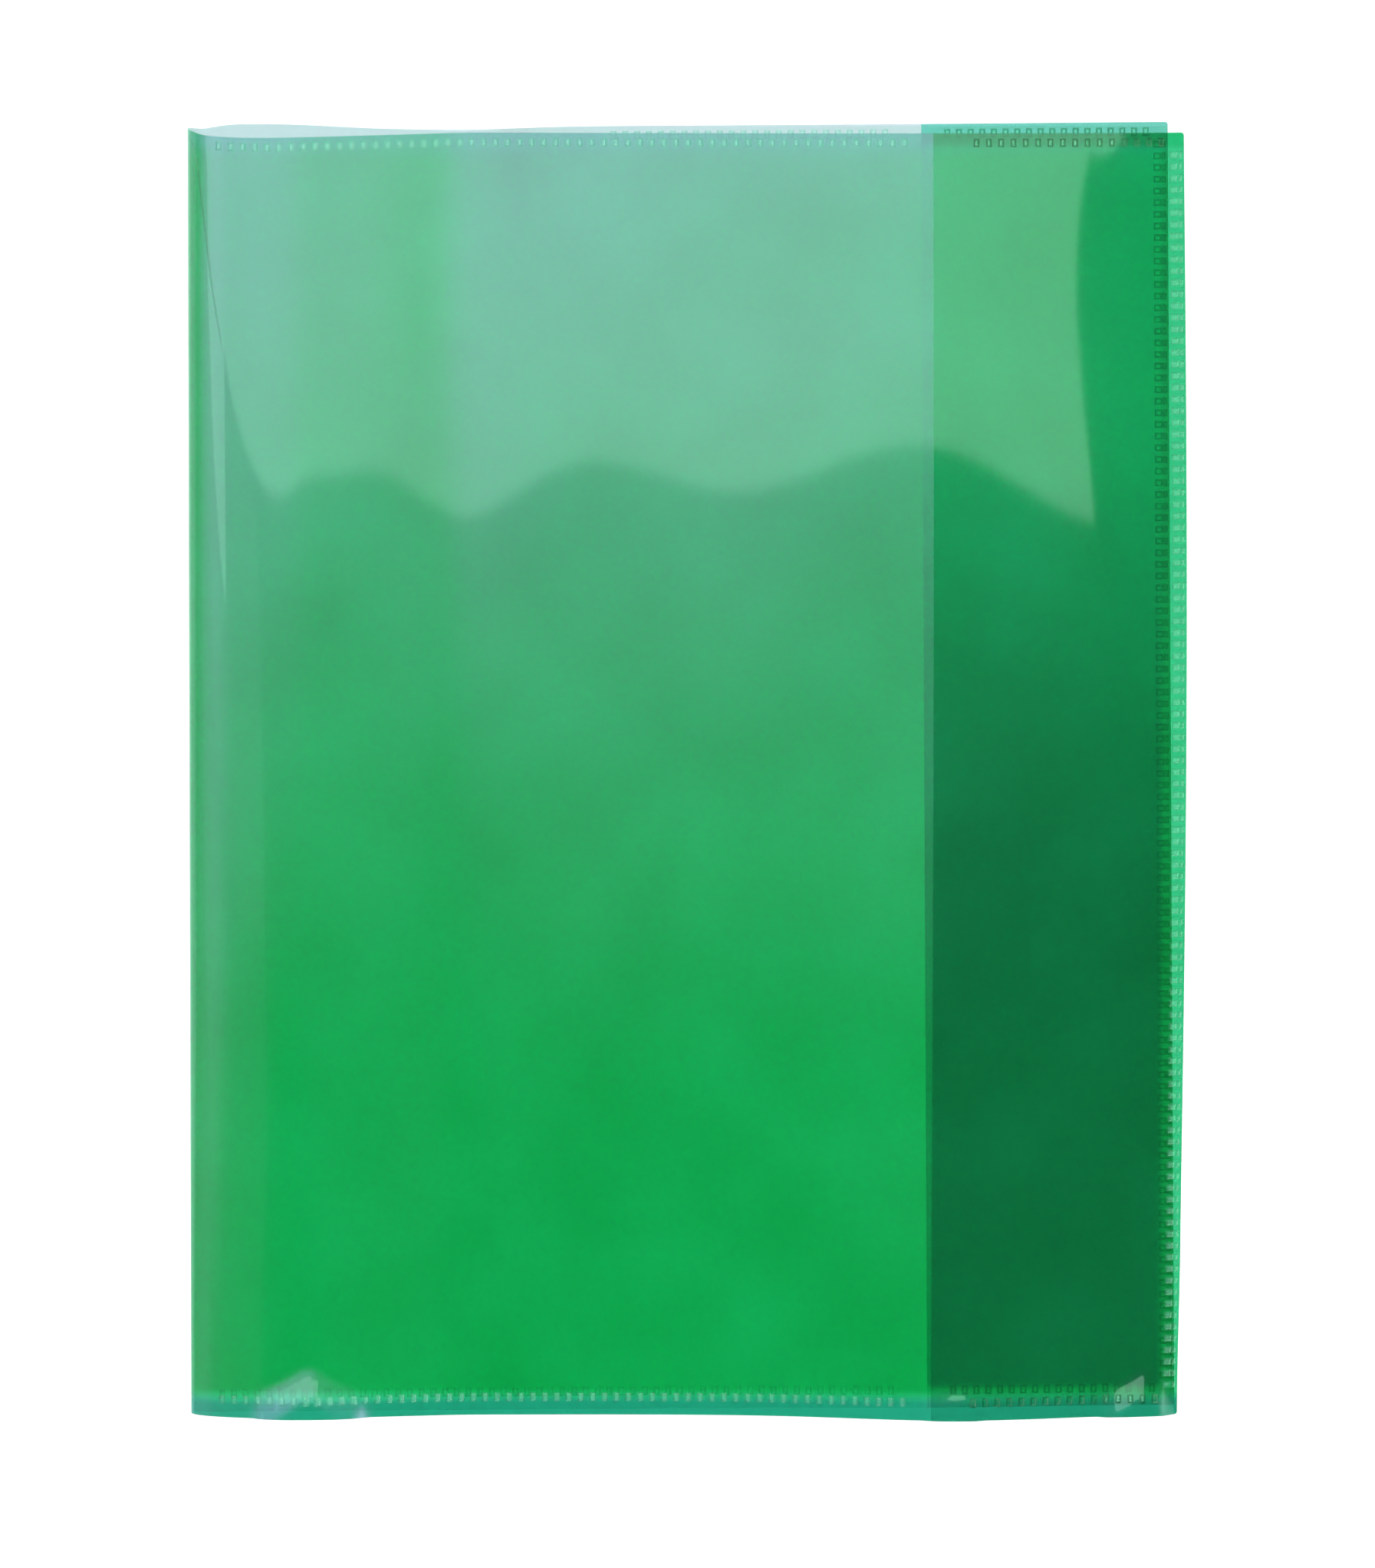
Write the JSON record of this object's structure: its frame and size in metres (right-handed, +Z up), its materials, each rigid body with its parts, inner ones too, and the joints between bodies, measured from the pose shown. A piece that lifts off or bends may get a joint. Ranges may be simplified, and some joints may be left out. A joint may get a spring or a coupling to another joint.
{
  "type": "exercise book cover",
  "caption": "Slip-on translucent film cover for a thin exercise book: leaves hinged by a soft spine roll, with pocket strips welded along head, foot and fore-edge.",
  "frame": {"origin": "middle of the object's footprint, on the surface that the back leaf lies on", "axes": "+X from the spine to the fore-edge, +Y from foot to head, +Z up through the closed leaves"},
  "size_m": [0.175, 0.2334, 0.0084],
  "materials": {
    "cover_film": "smooth glossy translucent green polypropylene film",
    "pocket_film": "smooth glossy translucent green polypropylene film, as the cover film",
    "weld": "fused film, slightly paler, with embossed teeth"
  },
  "bodies": {
    "back_leaf": {"back_panel": "cover_film", "spine_roll": "cover_film", "back_pocket": "pocket_film", "back_head_weld": "weld", "back_foot_weld": "weld", "back_fore_edge_weld": "weld"},
    "front_leaf": {"front_panel": "cover_film", "front_pocket": "pocket_film", "front_head_weld": "weld", "front_foot_weld": "weld", "front_fore_edge_weld": "weld"}
  },
  "joints": [
    {"name": "spine_fold", "type": "hinge", "parent": "back_leaf", "child": "front_leaf", "pos_m": [-0.0875, 0, 0.00075], "axis": [0, -1, 0], "range_deg": [0, 180]}
  ]
}
